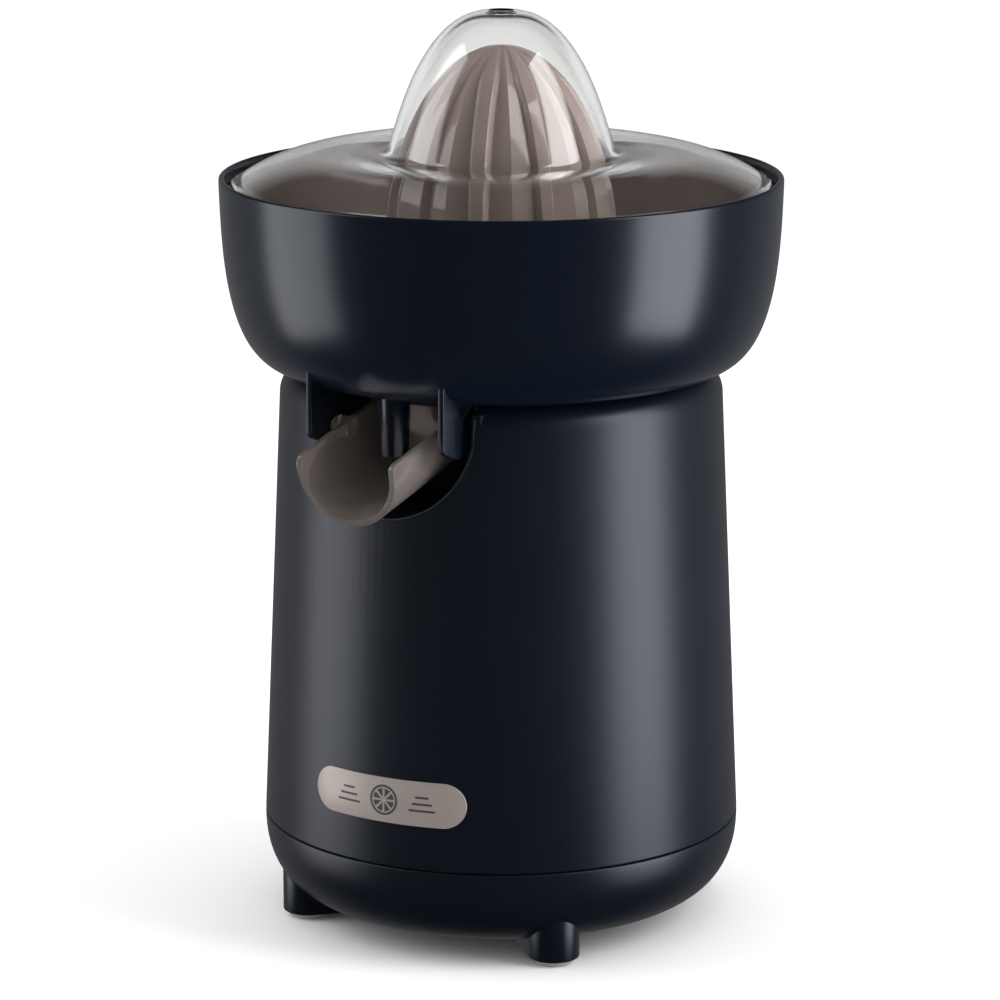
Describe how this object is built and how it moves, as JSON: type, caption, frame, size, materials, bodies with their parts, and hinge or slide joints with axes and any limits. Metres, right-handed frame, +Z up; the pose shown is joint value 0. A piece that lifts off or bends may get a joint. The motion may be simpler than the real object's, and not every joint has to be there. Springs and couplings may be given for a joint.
{
  "type": "citrus press juicer",
  "caption": "Electric citrus press: tapered housing on post feet, wide bowl with strainer, ribbed cone and domed lid, and a tilting spout in a front notch.",
  "frame": {"origin": "on the table, on the axis of the bowl and the drive shaft", "axes": "+Z up; -Y is the front, with the spout and badge; +X to the right seen from the front"},
  "size_m": [0.185, 0.1889, 0.3025],
  "materials": {
    "navy_abs": "satin moulded navy plastic",
    "smoked_san": "smoky transparent plastic",
    "clear_san": "clear transparent plastic",
    "badge_metal": "satin pale metal",
    "grey_rubber": "matt",
    "black_nylon": "matt",
    "white_acetal": "satin",
    "turned_steel": "turned",
    "stamped_steel": "zinc plated",
    "enamelled_copper": "enamelled wire",
    "sintered_bronze": "sintered"
  },
  "bodies": {
    "base": {"housing": "navy_abs", "base_pan": "navy_abs", "badge": "badge_metal", "cord_gland": "black_nylon", "return_spring": "turned_steel", "shaft_bush": "sintered_bronze", "thrust_washer": "sintered_bronze", "idler_pin": "turned_steel", "gearbox_plate": "stamped_steel", "gearbox_cover": "black_nylon", "motor_stator": "stamped_steel", "motor_bobbin": "white_acetal", "motor_winding": "enamelled_copper", "motor_bracket_top": "stamped_steel", "motor_bracket_bottom": "stamped_steel", "switch_body": "black_nylon", "foot_pad_1": "grey_rubber", "base_screw_1": "turned_steel", "gearbox_screw_1": "turned_steel", "foot_pad_2": "grey_rubber", "base_screw_2": "turned_steel", "gearbox_screw_2": "turned_steel", "foot_pad_3": "grey_rubber", "base_screw_3": "turned_steel", "gearbox_screw_3": "turned_steel", "foot_pad_4": "grey_rubber", "base_screw_4": "turned_steel", "gearbox_screw_4": "turned_steel", "motor_screw_1": "turned_steel", "motor_spacer_1": "turned_steel", "motor_screw_2": "turned_steel", "motor_spacer_2": "turned_steel"},
    "bowl": {"juice_bowl": "navy_abs", "spindle_seal": "black_nylon"},
    "spout": {"spout": "smoked_san"},
    "strainer": {"strainer": "smoked_san"},
    "lid": {"lid": "clear_san"},
    "output_gear": {"output_gear": "white_acetal"},
    "shaft": {"drive_shaft": "turned_steel", "thrust_collar": "white_acetal"},
    "spindle": {"bowl_spindle": "white_acetal"},
    "cone": {"reamer_cone": "smoked_san"},
    "idler": {"idler_gear": "white_acetal"},
    "motor_rotor": {"rotor": "turned_steel", "motor_pinion": "turned_steel", "cooling_fan": "black_nylon"},
    "plunger": {"switch_plunger": "white_acetal"}
  },
  "joints": [
    {"name": "reamer_spin", "type": "hinge", "parent": "base", "child": "output_gear", "pos_m": [0, 0, 0.117], "axis": [0, 0, 1], "continuous": true},
    {"name": "idler_spin", "type": "hinge", "parent": "base", "child": "idler", "pos_m": [0.02121, 0.02121, 0.113], "axis": [0, 0, 1], "continuous": true},
    {"name": "rotor_spin", "type": "hinge", "parent": "base", "child": "motor_rotor", "pos_m": [0, 0.03244, 0.068], "axis": [0, 0, 1], "continuous": true},
    {"name": "reamer_press", "type": "slide", "parent": "output_gear", "child": "shaft", "axis": [0, 0, -1], "range_m": [0, 0.0025], "stiffness_N_per_m": 2000, "springref_m": -0.003, "deforming": ["return_spring"]},
    {"name": "switch_travel", "type": "slide", "parent": "base", "child": "plunger", "axis": [0, 0, -1], "range_m": [0, 0.0025]},
    {"name": "bowl_lift", "type": "slide", "parent": "base", "child": "bowl", "axis": [0, 0, 1], "range_m": [0, 0.12]},
    {"name": "spindle_lift", "type": "slide", "parent": "shaft", "child": "spindle", "axis": [0, 0, 1], "range_m": [0, 0.12]},
    {"name": "strainer_lift", "type": "slide", "parent": "bowl", "child": "strainer", "axis": [0, 0, 1], "range_m": [0, 0.06]},
    {"name": "cone_lift", "type": "slide", "parent": "spindle", "child": "cone", "axis": [0, 0, 1], "range_m": [0, 0.06]},
    {"name": "lid_lift", "type": "slide", "parent": "strainer", "child": "lid", "axis": [0, 0, 1], "range_m": [0, 0.1]},
    {"name": "spout_tilt", "type": "hinge", "parent": "bowl", "child": "spout", "pos_m": [0, -0.066, 0.1745], "axis": [-1, 0, 0], "range_deg": [0, 30]}
  ],
  "couplings": [
    {"joint": "idler_spin", "follows": "reamer_spin", "ratio": -5},
    {"joint": "rotor_spin", "follows": "reamer_spin", "ratio": 20},
    {"joint": "switch_travel", "follows": "reamer_press", "ratio": 1},
    {"joint": "spindle_lift", "follows": "bowl_lift", "ratio": 1},
    {"joint": "cone_lift", "follows": "strainer_lift", "ratio": 1}
  ]
}
